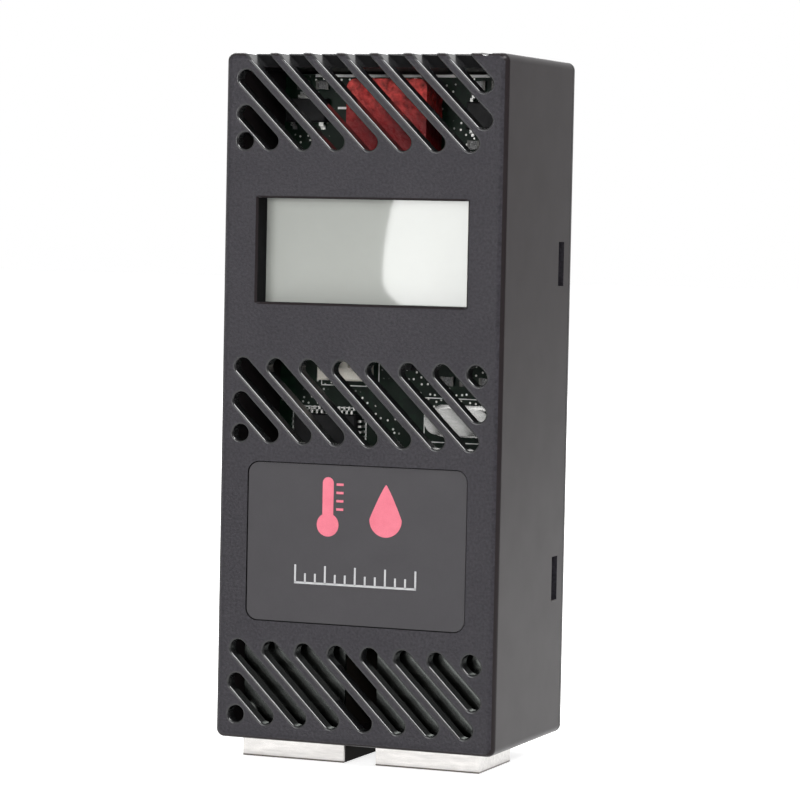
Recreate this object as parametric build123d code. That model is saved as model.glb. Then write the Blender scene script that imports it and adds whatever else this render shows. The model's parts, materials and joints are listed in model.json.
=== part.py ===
# Rack temperature sensor: a vented plastic case with a display window and two modular sockets.
# Millimetres. The origin is the centre of the rear mounting face, the front faces -Y and +Z is up.
# Depths are counted from the front face back, heights from the middle of the case.
import os

from build123d import *

# Case
case_width = 43.5
case_height = 100.0
case_depth = 30.0
wall = 2.0
cover_thickness = 1.2
corner_radius = 1.2
rear_edge_bevel = 0.6
parting_bevel = 0.15

# Vents: slanted slots between two side limits, in three bands; the top band runs over the top edge
vent_width = 2.4
vent_pitch = 5.16
vent_side_margin = 3.35
vent_first = 4.75
vent_band_height = 9.7
top_vent_notch = 4.0
top_vent_first = 3.9
top_vent_drop = 12.8
middle_vent_drop = 45.5
bottom_vent_rise = 3.6

# Display window and the stack behind it
window_side = 5.5
window_height = 15.1
window_drop = 28.55
window_bevel = 0.3
collar_wall = 1.2
collar_gap = 0.1
display_depth = 3.5
polarizer_thickness = 0.2
glass_thickness = 0.7
reflector_thickness = 0.25
glass_margin = 1.75
glass_ledge = 2.0
polarizer_inset = 0.8
connector_thickness = 1.8
connector_inset = 0.9
holder_wall = 1.2
holder_inset = 0.9

# Label
label_side = 4.65
label_top_gap = 4.0
label_bottom_gap = 4.2
label_corner = 1.8
label_recess = 0.35
label_thickness = 0.2
label_gap = 0.15

# Rear cover
lip_wall = 1.2
lip_height = 2.0
lip_gap = 0.15
hook_upper_drop = 29.85
hook_lower_rise = 23.55
hook_window_setback = 2.5
hook_window_depth = 2.4
hook_window_height = 6.5
hook_arm_width = 5.5
hook_arm_thickness = 1.2
hook_reach = 0.9
hook_land = 0.7
hook_gap = 0.2
hook_relief = 0.8
keyhole_spacing = 60.0
keyhole_entry_radius = 3.6
keyhole_slot_width = 4.0
keyhole_rise = 6.5

# Sockets: two side by side share the inside width
socket_between = 5.0
socket_side_room = 1.25
socket_depth = 13.1
socket_length = 18.3
socket_front = 3.3
socket_drop = 2.9
socket_cutout_gap = 0.3
shield_thickness = 0.3
shield_tab_width = 1.6
shield_tab_rise = 9.0
insert_gap = 0.05
plug_side_wall = 2.05
plug_height = 6.8
plug_reach = 12.5
plug_front_wall = 3.3
latch_width = 6.3
latch_height = 1.4
latch_nose_width = 3.6
latch_nose_height = 0.9
contact_count = 8
contact_pitch = 1.016
contact_width = 0.45
contact_thickness = 0.3
contact_trough = 1.1
contact_bed = 0.7
contact_fold_rise = 2.4
contact_tip_rise = 9.6
contact_tip_inset = 2.1
contact_pin_rise = 14.6
contact_pin_stagger = 2.54

# Board and its fixing
board_thickness = 1.6
board_gap = 0.4
boss_radius = 2.6
boss_inset = 2.85
boss_glass_gap = 0.25
boss_socket_gap = 2.5
boss_web = 1.2
pilot_radius = 1.0
pilot_length = 8.0
screw_shank_radius = 0.95
screw_length = 7.0
screw_head_radius = 2.2
screw_head_height = 1.5
screw_recess_width = 0.6
screw_recess_length = 2.4
screw_recess_depth = 0.8
screw_hole_gap = 0.35
lead_hole_gap = 0.15
lead_tail = 1.1

# Chips with bent leads; each board part is placed from a side and from the top of the board
package_standoff = 0.1
package_bevel = 0.25
lead_thickness = 0.2
lead_shoulder = 0.45
lead_foot = 0.6
controller_size = 10.0
controller_height = 1.9
controller_leads_per_side = 11
controller_lead_pitch = 0.8
controller_lead_width = 0.35
controller_left = 8.15
controller_drop = 55.4
transceiver_length = 5.0
transceiver_width = 4.0
transceiver_height = 1.5
transceiver_leads_per_side = 4
transceiver_lead_pitch = 1.27
transceiver_lead_width = 0.42
transceiver_right = 6.75
transceiver_drop = 6.0
regulator_length = 6.5
regulator_width = 3.5
regulator_height = 1.6
regulator_lead_count = 3
regulator_lead_pitch = 2.3
regulator_lead_width = 0.7
regulator_tab_width = 3.0
regulator_left = 4.0
regulator_drop = 5.4

# Box capacitor, filter capacitor and crystal
box_capacitor_width = 12.6
box_capacitor_height = 11.0
box_capacitor_thickness = 6.4
box_capacitor_round = 1.4
box_capacitor_x = -0.5
box_capacitor_drop = 6.4
box_capacitor_lead_spacing = 10.0
filter_radius = 4.0
filter_length = 11.5
filter_right = 11.35
filter_drop = 58.6
filter_lead_spacing = 3.5
lead_size = 0.6
crystal_length = 10.2
crystal_width = 3.8
crystal_height = 3.5
crystal_flange = 0.45
crystal_flange_height = 0.5
crystal_right = 8.95
crystal_drop = 50.8
crystal_lead_spacing = 4.9

# Sensing elements
humidity_width = 7.4
humidity_height = 8.0
humidity_thickness = 4.2
humidity_left = 11.35
humidity_drop = 41.3
humidity_port_width = 0.9
humidity_port_length = 4.2
humidity_port_pitch = 1.7
humidity_port_count = 3
humidity_port_depth = 1.2
humidity_pin_spacing = 5.08
humidity_pin_size = 0.5
probe_radius = 2.3
probe_flat = 1.3
probe_height = 4.6
probe_lift = 2.0
probe_x = 2.2
probe_drop = 42.0
probe_lead_pitch = 1.27
probe_lead_size = 0.42

# Chip resistors and capacitors
chip_length = 2.0
chip_width = 1.25
chip_cap_length = 0.4
chip_cap_skin = 0.05
chip_resistor_height = 0.5
chip_capacitor_height = 0.9
chip_column_pitch = 3.0
left_resistor_rows = ((3.15, 1.6), (4.35, 63.2))
left_resistor_counts = (2, 4)
right_resistor_rows = ((4.75, 1.6), (5.35, 10.3), (5.75, 45.0))
right_resistor_counts = (2, 2, 3)
left_capacitor_rows = ((4.35, 66.4),)
left_capacitor_counts = (4,)

# Levels that the sizes above give
cavity_width = case_width - 2 * wall
cavity_height = case_height - 2 * wall
cover_front = case_depth - cover_thickness
hook_window_rear = cover_front - hook_window_setback
hook_window_front = hook_window_rear - hook_window_depth
board_front = socket_front + socket_depth
board_rear = board_front + board_thickness
glass_front = display_depth + polarizer_thickness
rear_glass_front = glass_front + glass_thickness
reflector_front = rear_glass_front + glass_thickness
holder_front = reflector_front + reflector_thickness

# Places on the front view that the sizes above give
top_z = case_height / 2
bottom_z = -case_height / 2
top_vent_low = top_z - top_vent_drop
middle_vent_high = top_z - middle_vent_drop
middle_vent_low = middle_vent_high - vent_band_height
bottom_vent_low = bottom_z + bottom_vent_rise
bottom_vent_high = bottom_vent_low + vent_band_height
window_width = case_width - 2 * window_side
window_z = top_z - window_drop
glass_width = window_width + 2 * glass_margin
glass_height = window_height + 2 * glass_margin
rear_glass_height = glass_height - 2 * glass_ledge
label_width = case_width - 2 * label_side
label_top = middle_vent_low - label_top_gap
label_bottom = bottom_vent_high + label_bottom_gap
label_height = label_top - label_bottom
label_z = (label_top + label_bottom) / 2
hook_levels = (top_z - hook_upper_drop, bottom_z + hook_lower_rise)
mouth_z = bottom_z - socket_drop
socket_width = (cavity_width - socket_between) / 2 - socket_side_room
plug_width = socket_width - 2 * plug_side_wall
socket_reach = (socket_between + socket_width) / 2
socket_centres = {"left": -socket_reach, "right": socket_reach}
boss_x = cavity_width / 2 - boss_inset
boss_upper_z = window_z + glass_height / 2 + boss_glass_gap + boss_radius
boss_lower_z = mouth_z + socket_length + boss_socket_gap + boss_radius
boss_places = ((-boss_x, boss_upper_z), (boss_x, boss_lower_z))
board_width = cavity_width - 2 * board_gap
board_height = cavity_height - 2 * board_gap
board_left = -board_width / 2
board_right = board_width / 2
board_top = board_height / 2
controller_x = board_left + controller_left
controller_z = board_top - controller_drop
transceiver_x = board_right - transceiver_right
transceiver_z = board_top - transceiver_drop
regulator_x = board_left + regulator_left
regulator_z = board_top - regulator_drop
box_capacitor_z = board_top - box_capacitor_drop
filter_x = board_right - filter_right
filter_z = board_top - filter_drop
crystal_x = board_right - crystal_right
crystal_z = board_top - crystal_drop
humidity_x = board_left + humidity_left
humidity_z = board_top - humidity_drop
probe_z = board_top - probe_drop


def face_plane(depth):
    # Drawing plane parallel to the front face: local x is +X and local y is +Z.
    return Plane(origin=(0, depth - case_depth, 0), x_dir=(1, 0, 0), z_dir=(0, -1, 0))


def plate(outline, front, rear):
    # Solid with one front-view outline between two depths.
    return extrude(face_plane(rear) * outline, amount=rear - front)


def block(width, height, front, rear, x=0, z=0):
    return plate(Pos(x, z) * Rectangle(width, height), front, rear)


def spread(count, pitch):
    # Places of a row of equal steps about zero.
    return [(i - (count - 1) / 2) * pitch for i in range(count)]


def edges_at(solid, depth):
    # Edges that lie in one plane parallel to the front face.
    y = depth - case_depth
    return solid.edges().filter_by_position(Axis.Y, y, y)


def strip_outline(path, thickness):
    # Mitred outline of a strip of even thickness that follows straight runs.
    points = [Vector(*place) for place in path]
    runs = [(b - a).normalized() for a, b in zip(points, points[1:])]
    mitres = []
    for arriving, leaving in zip([runs[0]] + runs, runs + [runs[-1]]):
        along = (arriving + leaving) * (thickness / 2 / (1 + arriving.dot(leaving)))
        mitres.append(along.rotate(Axis.Z, 90))
    one_side = [point + mitre for point, mitre in zip(points, mitres)]
    other_side = [point - mitre for point, mitre in zip(points, mitres)]
    return make_face(Polyline(*one_side, *reversed(other_side), close=True))


def vent_outlines(low, high, first):
    # Slots that fall from left to right at 45 degrees, cut off by a rectangle, and one round corner hole.
    right = case_width / 2 - vent_side_margin
    left = -right
    outlines = [Pos(left, low) * Circle(vent_width / 2)]
    foot = left + first
    while foot + low < right + high:
        top_z = min(high, low + foot - left)
        end_x = min(right, foot)
        start = Vector(foot + low - top_z, top_z)
        end = Vector(end_x, foot + low - end_x)
        middle = (start + end) / 2
        slot = Rot(0, 0, -45) * SlotCenterToCenter((end - start).length, vent_width)
        outlines.append(Pos(middle.X, middle.Y) * slot)
        foot += vent_pitch
    return outlines


def build_front_housing():
    shell = block(case_width, case_height, 0, cover_front)
    shell = fillet(shell.edges().filter_by(Axis.Y) + edges_at(shell, 0), corner_radius)
    shell = chamfer(edges_at(shell, cover_front), parting_bevel)
    shell -= block(cavity_width, cavity_height, wall, cover_front)
    collar_width = window_width + 2 * collar_wall
    collar_height = window_height + 2 * collar_wall
    shell += block(collar_width, collar_height, wall, display_depth - collar_gap, z=window_z)
    for x, z in boss_places:
        side = 1 if x > 0 else -1
        web_length = cavity_width / 2 - boss_x
        boss = plate(Pos(x, z) * Circle(boss_radius), wall, board_front)
        web = block(web_length, boss_web, wall, board_front, x + side * web_length / 2, z)
        pilot = plate(Pos(x, z) * Circle(pilot_radius), board_front - pilot_length, board_front)
        shell += boss + web
        shell -= pilot
    window = Pos(0, window_z) * Rectangle(window_width, window_height)
    window_mouth = face_plane(0) * offset(window, window_bevel)
    cuts = [plate(window, 0, display_depth), extrude(window_mouth, amount=-window_bevel, taper=45)]
    for outline in vent_outlines(top_vent_low, top_z + vent_width, top_vent_first):
        cuts.append(plate(outline, 0, top_vent_notch))
    for low in (middle_vent_low, bottom_vent_low):
        for outline in vent_outlines(low, low + vent_band_height, vent_first):
            cuts.append(plate(outline, 0, wall))
    label_outline = RectangleRounded(label_width, label_height, label_corner)
    cuts.append(plate(Pos(0, label_z) * label_outline, 0, label_recess))
    for z in hook_levels:
        cuts.append(block(case_width, hook_window_height, hook_window_front, hook_window_rear, z=z))
    for x in socket_centres.values():
        cutout_width = socket_width + 2 * socket_cutout_gap
        cutout_front = socket_front - socket_cutout_gap
        cutout_rear = board_front + socket_cutout_gap
        cuts.append(block(cutout_width, 2 * wall, cutout_front, cutout_rear, x, bottom_z))
    return shell - cuts


def keyhole(z):
    rise = SlotCenterToCenter(keyhole_rise, keyhole_slot_width, rotation=90)
    return Pos(0, z) * (Circle(keyhole_entry_radius) + Pos(0, keyhole_rise / 2) * rise)


def cover_hook(side, z):
    # Spring arm along the side wall with a lug that catches the rear edge of its window.
    outer = cavity_width / 2 - lip_gap
    arm_x = side * (outer - hook_arm_thickness / 2)
    arm = block(hook_arm_thickness, hook_arm_width, hook_window_front, cover_front, arm_x, z)
    catch = hook_window_rear - hook_gap - case_depth
    nose = hook_window_front + hook_gap - case_depth
    lug = Polyline(
        (side * outer, nose),
        (side * (outer + hook_reach), catch - hook_land),
        (side * (outer + hook_reach), catch),
        (side * outer, catch),
        close=True,
    )
    return arm + extrude(Plane.XY.offset(z) * make_face(lug), amount=hook_arm_width / 2, both=True)


def build_rear_cover():
    cover = plate(RectangleRounded(case_width, case_height, corner_radius), cover_front, case_depth)
    cover = chamfer(edges_at(cover, case_depth), rear_edge_bevel)
    lip_width = cavity_width - 2 * lip_gap
    lip_span = cavity_height - 2 * lip_gap
    lip_front = cover_front - lip_height
    lip = block(lip_width, lip_span, lip_front, cover_front)
    lip -= block(lip_width - 2 * lip_wall, lip_span - 2 * lip_wall, lip_front, cover_front)
    relief_span = hook_arm_width + 2 * hook_relief
    for z in hook_levels:
        lip -= block(lip_width, relief_span, lip_front, cover_front, z=z)
    cover += lip
    for side in (-1, 1):
        for z in hook_levels:
            cover += cover_hook(side, z)
    for z in (-keyhole_spacing / 2, keyhole_spacing / 2):
        cover -= plate(keyhole(z), cover_front, case_depth)
    return cover


def build_label():
    width = label_width - 2 * label_gap
    height = label_height - 2 * label_gap
    film = RectangleRounded(width, height, label_corner - label_gap)
    return plate(Pos(0, label_z) * film, label_recess - label_thickness, label_recess)


def build_display():
    film_width = glass_width - 2 * polarizer_inset
    film_height = glass_height - 2 * polarizer_inset
    layers = {
        "lcd_polarizer": (film_width, film_height, display_depth, glass_front),
        "lcd_front_glass": (glass_width, glass_height, glass_front, rear_glass_front),
        "lcd_rear_glass": (glass_width, rear_glass_height, rear_glass_front, reflector_front),
        "lcd_reflector": (film_width, rear_glass_height, reflector_front, holder_front),
    }
    nodes = {name: block(*sizes, z=window_z) for name, sizes in layers.items()}
    nodes["lcd_holder"] = build_display_holder()
    nodes["lcd_connectors"] = build_display_connectors()
    return nodes


def build_display_holder():
    # Open box that stands on the board and carries the glass on its top.
    width = glass_width - 2 * holder_inset
    top = holder_front + holder_wall
    box = block(width, rear_glass_height, holder_front, board_front, z=window_z)
    hollow_height = rear_glass_height - 2 * holder_wall
    hollow = block(width - 2 * holder_wall, hollow_height, top, board_front, z=window_z)
    return box - hollow


def build_display_connectors():
    # Rubber contact strips pressed between the ledges of the front glass and the board.
    width = glass_width - 2 * connector_inset
    reach = (glass_height - connector_thickness) / 2
    levels = (window_z - reach, window_z + reach)
    strips = [block(width, connector_thickness, rear_glass_front, board_front, z=z) for z in levels]
    return Compound(strips)


def contact_pin_rises():
    # The pins leave the socket in two rows, turn and turn about.
    return [contact_pin_rise - (i % 2) * contact_pin_stagger for i in range(contact_count)]


def contact_pin_places(x):
    rises = contact_pin_rises()
    columns = spread(contact_count, contact_pitch)
    return [(x + column, mouth_z + rise) for column, rise in zip(columns, rises)]


def plug_mouth(x, gap=0.0):
    # Stepped outline that a modular plug and its latch pass through, with the latch towards the front.
    front = socket_front + plug_front_wall
    base = front - case_depth
    body = Rectangle(plug_width + 2 * gap, plug_height + 2 * gap)
    steps = Pos(x, base + plug_height / 2) * body
    latch_base = base - latch_height / 2
    steps += Pos(x, latch_base) * Rectangle(latch_width + 2 * gap, latch_height + 2 * gap)
    nose_base = base - latch_height - latch_nose_height / 2
    steps += Pos(x, nose_base) * Rectangle(latch_nose_width + 2 * gap, latch_nose_height + 2 * gap)
    return steps


def build_shield(x):
    # Folded sheet box, open towards the board, with the plug mouth in its lower face and two board tabs.
    centre_z = mouth_z + socket_length / 2
    inner_width = socket_width - 2 * shield_thickness
    inner_length = socket_length - 2 * shield_thickness
    shield = block(socket_width, socket_length, socket_front, board_front, x, centre_z)
    shield -= block(inner_width, inner_length, socket_front + shield_thickness, board_front, x, centre_z)
    mouth = Plane.XY.offset(mouth_z) * plug_mouth(x, shield_thickness)
    shield -= extrude(mouth, amount=shield_thickness)
    for tab_x in shield_tab_columns(x):
        tab_z = mouth_z + shield_tab_rise
        tail = board_rear + lead_tail
        shield += block(shield_thickness, shield_tab_width, board_front, tail, tab_x, tab_z)
    return shield


def shield_tab_columns(x):
    reach = socket_width / 2 - shield_thickness / 2
    return (x - reach, x + reach)


def build_insert(x):
    # Plastic body with the plug chamber, a trough for the contacts and a window for their pins.
    fit = shield_thickness + insert_gap
    low = mouth_z + fit
    length = socket_length - 2 * fit
    body = block(socket_width - 2 * fit, length, socket_front + fit, board_front, x, low + length / 2)
    chamber = extrude(Plane.XY.offset(mouth_z) * plug_mouth(x), amount=plug_reach)
    rear = socket_front + plug_front_wall + plug_height
    trough_width = (contact_count - 1) * contact_pitch + 2 * contact_width
    trough_low = mouth_z + contact_fold_rise - contact_bed
    trough_high = mouth_z + contact_pin_rise + contact_bed
    trough_length = trough_high - trough_low
    trough_z = (trough_low + trough_high) / 2
    trough = block(trough_width, trough_length, rear, rear + contact_trough, x, trough_z)
    window_low = mouth_z + contact_pin_rise - contact_pin_stagger - contact_bed
    window_span = trough_high - window_low
    window_mid = (trough_high + window_low) / 2
    window = block(trough_width, window_span, rear + contact_trough, board_front, x, window_mid)
    return body - [chamber, trough, window]


def build_contacts(x):
    # Bent spring wires: a pin through the board, a run along the trough and a free arm in the chamber.
    rear = socket_front + plug_front_wall + plug_height
    bed = rear + contact_bed - case_depth
    tip = rear - contact_tip_inset - case_depth
    tail = board_rear + lead_tail - case_depth
    wires = []
    for column, rise in zip(spread(contact_count, contact_pitch), contact_pin_rises()):
        path = (
            (tail, mouth_z + rise),
            (bed, mouth_z + rise),
            (bed, mouth_z + contact_fold_rise),
            (bed - contact_thickness, mouth_z + contact_fold_rise),
            (tip, mouth_z + contact_tip_rise),
        )
        outline = strip_outline(path, contact_thickness)
        wire_plane = Plane.YZ.offset(x + column)
        wires.append(extrude(wire_plane * outline, amount=contact_width / 2, both=True))
    return Compound(wires)


def capacitor_lead_places():
    box = [(box_capacitor_x + x, box_capacitor_z) for x in spread(2, box_capacitor_lead_spacing)]
    filter_pair = [(filter_x + x, filter_z) for x in spread(2, filter_lead_spacing)]
    return box + filter_pair


def crystal_lead_places():
    return [(crystal_x + x, crystal_z) for x in spread(2, crystal_lead_spacing)]


def humidity_pin_places():
    row = spread(2, humidity_pin_spacing)
    return [(humidity_x + x, humidity_z + z) for x in row for z in row]


def probe_lead_places():
    return [(probe_x + x, probe_z) for x in spread(3, probe_lead_pitch)]


def build_board():
    board = block(board_width, board_height, board_front, board_rear)
    screw_hole = Circle(screw_shank_radius + screw_hole_gap)
    holes = [plate(Pos(x, z) * screw_hole, board_front, board_rear) for x, z in boss_places]
    holes += lead_holes(capacitor_lead_places() + crystal_lead_places(), lead_size, lead_size)
    holes += lead_holes(humidity_pin_places(), humidity_pin_size, humidity_pin_size)
    holes += lead_holes(probe_lead_places(), probe_lead_size, probe_lead_size)
    for x in socket_centres.values():
        tab_places = [(tab_x, mouth_z + shield_tab_rise) for tab_x in shield_tab_columns(x)]
        holes += lead_holes(tab_places, shield_thickness, shield_tab_width)
        holes += lead_holes(contact_pin_places(x), contact_width, contact_thickness)
    return board - holes


def lead_holes(places, width, height):
    across = width + 2 * lead_hole_gap
    along = height + 2 * lead_hole_gap
    return [block(across, along, board_front, board_rear, x, z) for x, z in places]


def build_screws():
    # Flat-topped screws that clamp the board to the bosses from the rear, with a cross recess.
    screws = []
    head_rear = board_rear + screw_head_height
    for x, z in boss_places:
        head = plate(Pos(x, z) * Circle(screw_head_radius), board_rear, head_rear)
        shank = plate(Pos(x, z) * Circle(screw_shank_radius), board_rear - screw_length, board_rear)
        recess_front = head_rear - screw_recess_depth
        arm = block(screw_recess_length, screw_recess_width, recess_front, head_rear, x, z)
        cross_arm = block(screw_recess_width, screw_recess_length, recess_front, head_rear, x, z)
        screws.append(head + shank - [arm, cross_arm])
    return Compound(screws)


def package_body(width, height, thickness, x, z):
    rear = board_front - package_standoff
    body = block(width, height, rear - thickness, rear, x, z)
    return chamfer(edges_at(body, rear - thickness), package_bevel)


def bent_leads(x, z, reach, thickness, places, width, outward):
    # Gull-wing leads in a row: out of the body side, down and along the board.
    level = package_standoff + thickness / 2
    sole = lead_thickness / 2
    path = (
        (reach, level),
        (reach + lead_shoulder, level),
        (reach + lead_shoulder, sole),
        (reach + lead_shoulder + lead_foot, sole),
    )
    outline = strip_outline(path, lead_thickness)
    across = Vector(0, -1, 0).cross(outward)
    leads = []
    for place in places:
        origin = Vector(x, board_front - case_depth, z) + across * place
        lead_plane = Plane(origin=origin, x_dir=outward, z_dir=across * -1)
        leads.append(extrude(lead_plane * outline, amount=width / 2, both=True))
    return leads


def build_controller():
    body = package_body(controller_size, controller_size, controller_height, controller_x, controller_z)
    places = spread(controller_leads_per_side, controller_lead_pitch)
    leads = []
    for outward in (Vector(1, 0, 0), Vector(-1, 0, 0), Vector(0, 0, 1), Vector(0, 0, -1)):
        leads += bent_leads(
            controller_x, controller_z, controller_size / 2, controller_height,
            places, controller_lead_width, outward,
        )
    return {"microcontroller": body, "microcontroller_leads": Compound(leads)}


def build_transceiver():
    body = package_body(
        transceiver_length, transceiver_width, transceiver_height, transceiver_x, transceiver_z
    )
    places = spread(transceiver_leads_per_side, transceiver_lead_pitch)
    leads = []
    for outward in (Vector(0, 0, 1), Vector(0, 0, -1)):
        leads += bent_leads(
            transceiver_x, transceiver_z, transceiver_width / 2, transceiver_height,
            places, transceiver_lead_width, outward,
        )
    return {"transceiver": body, "transceiver_leads": Compound(leads)}


def build_regulator():
    body = package_body(regulator_length, regulator_width, regulator_height, regulator_x, regulator_z)
    reach = regulator_width / 2
    row = spread(regulator_lead_count, regulator_lead_pitch)
    down = Vector(0, 0, -1)
    up = Vector(0, 0, 1)
    leads = bent_leads(
        regulator_x, regulator_z, reach, regulator_height, row, regulator_lead_width, down
    )
    leads += bent_leads(regulator_x, regulator_z, reach, regulator_height, [0], regulator_tab_width, up)
    return {"regulator": body, "regulator_leads": Compound(leads)}


def build_box_capacitor():
    front = board_front - box_capacitor_thickness
    body = block(
        box_capacitor_width, box_capacitor_height, front, board_front, box_capacitor_x, box_capacitor_z
    )
    return fillet(body.edges().filter_by(Axis.Y), box_capacitor_round)


def build_filter_capacitor():
    front = board_front - filter_length
    return plate(Pos(filter_x, filter_z) * Circle(filter_radius), front, board_front)


def build_crystal():
    rim_width = crystal_width + 2 * crystal_flange
    rim_front = board_front - crystal_flange_height
    front = board_front - crystal_height
    run = crystal_length - crystal_width
    can = plate(Pos(crystal_x, crystal_z) * SlotCenterToCenter(run, crystal_width), front, rim_front)
    rim = plate(Pos(crystal_x, crystal_z) * SlotCenterToCenter(run, rim_width), rim_front, board_front)
    return Compound([can + rim] + square_leads(crystal_lead_places(), lead_size, board_front))


def build_humidity_sensor():
    front = board_front - humidity_thickness
    body = block(humidity_width, humidity_height, front, board_front, humidity_x, humidity_z)
    body = chamfer(edges_at(body, front), package_bevel)
    floor = front + humidity_port_depth
    for x in spread(humidity_port_count, humidity_port_pitch):
        body -= block(humidity_port_width, humidity_port_length, front, floor, humidity_x + x, humidity_z)
    return body


def square_leads(places, size, front):
    tail = board_rear + lead_tail
    return [block(size, size, front, tail, x, z) for x, z in places]


def build_probe():
    # Small round-backed body with one flat side, held off the board on its leads.
    rear = board_front - probe_lift
    outline = Circle(probe_radius) - Pos(0, -probe_flat - probe_radius) * Rectangle(
        2 * probe_radius, 2 * probe_radius
    )
    return plate(Pos(probe_x, probe_z) * outline, rear - probe_height, rear)


def chip_row_places(rows, counts, side):
    # Rows that start at one side of the board and step towards the middle.
    edge = board_left if side > 0 else board_right
    places = []
    for (inset, drop), count in zip(rows, counts):
        places += [(edge + side * (inset + i * chip_column_pitch), board_top - drop) for i in range(count)]
    return places


def resistor_places():
    left = chip_row_places(left_resistor_rows, left_resistor_counts, 1)
    return left + chip_row_places(right_resistor_rows, right_resistor_counts, -1)


def capacitor_places():
    return chip_row_places(left_capacitor_rows, left_capacitor_counts, 1)


def build_chips(places, height):
    # Ceramic cores; the metal caps at their ends are separate pieces.
    core = chip_length - 2 * chip_cap_length
    front = board_front - height
    sole = board_front - chip_cap_skin
    return Compound([block(core, chip_width, front, sole, x, z) for x, z in places])


def build_chip_caps():
    caps = []
    reach = (chip_length - chip_cap_length) / 2
    cap_width = chip_width + 2 * chip_cap_skin
    kinds = ((resistor_places(), chip_resistor_height), (capacitor_places(), chip_capacitor_height))
    for places, height in kinds:
        front = board_front - height - chip_cap_skin
        for x, z in places:
            for side in (-reach, reach):
                caps.append(block(chip_cap_length, cap_width, front, board_front, x + side, z))
    return Compound(caps)


def build_all():
    nodes = {
        "front_housing": build_front_housing(),
        "rear_cover": build_rear_cover(),
        "label": build_label(),
        "main_board": build_board(),
        "board_screws": build_screws(),
        "film_capacitor": build_box_capacitor(),
        "filter_capacitor": build_filter_capacitor(),
        "capacitor_leads": Compound(square_leads(capacitor_lead_places(), lead_size, board_front)),
        "crystal": build_crystal(),
        "humidity_sensor": build_humidity_sensor(),
        "humidity_sensor_pins": Compound(
            square_leads(humidity_pin_places(), humidity_pin_size, board_front)
        ),
        "temperature_sensor": build_probe(),
        "temperature_sensor_leads": Compound(
            square_leads(probe_lead_places(), probe_lead_size, board_front - probe_lift)
        ),
        "chip_resistors": build_chips(resistor_places(), chip_resistor_height),
        "chip_capacitors": build_chips(capacitor_places(), chip_capacitor_height),
        "chip_terminals": build_chip_caps(),
    }
    nodes.update(build_display())
    nodes.update(build_controller())
    nodes.update(build_transceiver())
    nodes.update(build_regulator())
    for name, x in socket_centres.items():
        nodes[f"jack_shield_{name}"] = build_shield(x)
        nodes[f"jack_insert_{name}"] = build_insert(x)
        nodes[f"jack_contacts_{name}"] = build_contacts(x)
    return nodes


os.makedirs("parts", exist_ok=True)
for name, shape in build_all().items():
    export_step(shape, f"parts/{name}.step")
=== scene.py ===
import json
import math

import bmesh
import bpy
from mathutils import Matrix, Vector


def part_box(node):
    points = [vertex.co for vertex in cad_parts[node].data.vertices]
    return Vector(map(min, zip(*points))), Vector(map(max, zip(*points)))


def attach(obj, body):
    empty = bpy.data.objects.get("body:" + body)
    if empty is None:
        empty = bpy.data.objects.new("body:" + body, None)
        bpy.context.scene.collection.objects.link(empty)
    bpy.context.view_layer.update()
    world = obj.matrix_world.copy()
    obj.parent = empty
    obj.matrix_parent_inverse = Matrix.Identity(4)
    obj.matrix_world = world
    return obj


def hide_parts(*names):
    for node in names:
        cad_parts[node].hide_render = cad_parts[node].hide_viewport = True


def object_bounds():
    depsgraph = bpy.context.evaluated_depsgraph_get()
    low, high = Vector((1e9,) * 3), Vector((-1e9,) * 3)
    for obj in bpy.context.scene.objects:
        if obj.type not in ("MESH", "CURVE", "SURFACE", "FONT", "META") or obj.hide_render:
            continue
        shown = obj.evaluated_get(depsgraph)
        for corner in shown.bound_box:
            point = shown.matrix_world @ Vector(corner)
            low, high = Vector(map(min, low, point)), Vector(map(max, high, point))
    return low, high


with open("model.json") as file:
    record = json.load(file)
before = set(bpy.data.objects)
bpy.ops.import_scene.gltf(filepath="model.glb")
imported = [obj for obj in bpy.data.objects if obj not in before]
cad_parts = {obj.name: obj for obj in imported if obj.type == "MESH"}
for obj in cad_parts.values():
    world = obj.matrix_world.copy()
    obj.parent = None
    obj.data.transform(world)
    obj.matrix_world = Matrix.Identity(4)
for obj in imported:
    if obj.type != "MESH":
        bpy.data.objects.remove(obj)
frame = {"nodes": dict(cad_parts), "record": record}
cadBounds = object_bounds()
nodes = frame["nodes"]
slotOfNode = {part["node"]: part["material_slot"] for part in frame["record"]["subparts"]}
mm = 0.001
touching = 1e-6  # metres within which two places are one
white = (1, 1, 1, 1)
print("frame loaded,", len(nodes), "nodes")


# small helpers for shader trees; sizes in the part's looks are millimetres
def startMaterial(name):
    material = bpy.data.materials.new(name)
    material.use_nodes = True
    return material, material.node_tree, material.node_tree.nodes["Principled BSDF"]


def addNode(tree, kind, inputs=None, **settings):
    node = tree.nodes.new(kind)
    for key, value in settings.items():
        setattr(node, key, value)
    for key, value in (inputs or {}).items():
        if isinstance(value, bpy.types.NodeSocket):
            tree.links.new(value, node.inputs[key])
        else:
            node.inputs[key].default_value = value
    return node


def placedCoords(tree, stretch=(1, 1, 1)):
    coords = addNode(tree, "ShaderNodeTexCoord").outputs["Object"]
    mapping = addNode(tree, "ShaderNodeMapping", {"Vector": coords, "Scale": stretch})
    return mapping.outputs["Vector"]


def noiseField(tree, size, detail, stretch=(1, 1, 1), roughness=0.6):
    coords = placedCoords(tree, stretch)
    inputs = {"Vector": coords, "Scale": 1 / (size * mm), "Detail": detail, "Roughness": roughness}
    return addNode(tree, "ShaderNodeTexNoise", inputs).outputs["Fac"]


# from the first tone to the second while the field goes from the first value to the second
def ramp(tree, field, values, tones):
    node = addNode(tree, "ShaderNodeValToRGB", {"Fac": field})
    for element, place, tone in zip(node.color_ramp.elements, values, tones):
        element.position = place
        element.color = (*tone, 1) if hasattr(tone, "__len__") else (tone, tone, tone, 1)
    return node.outputs["Color"]


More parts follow.
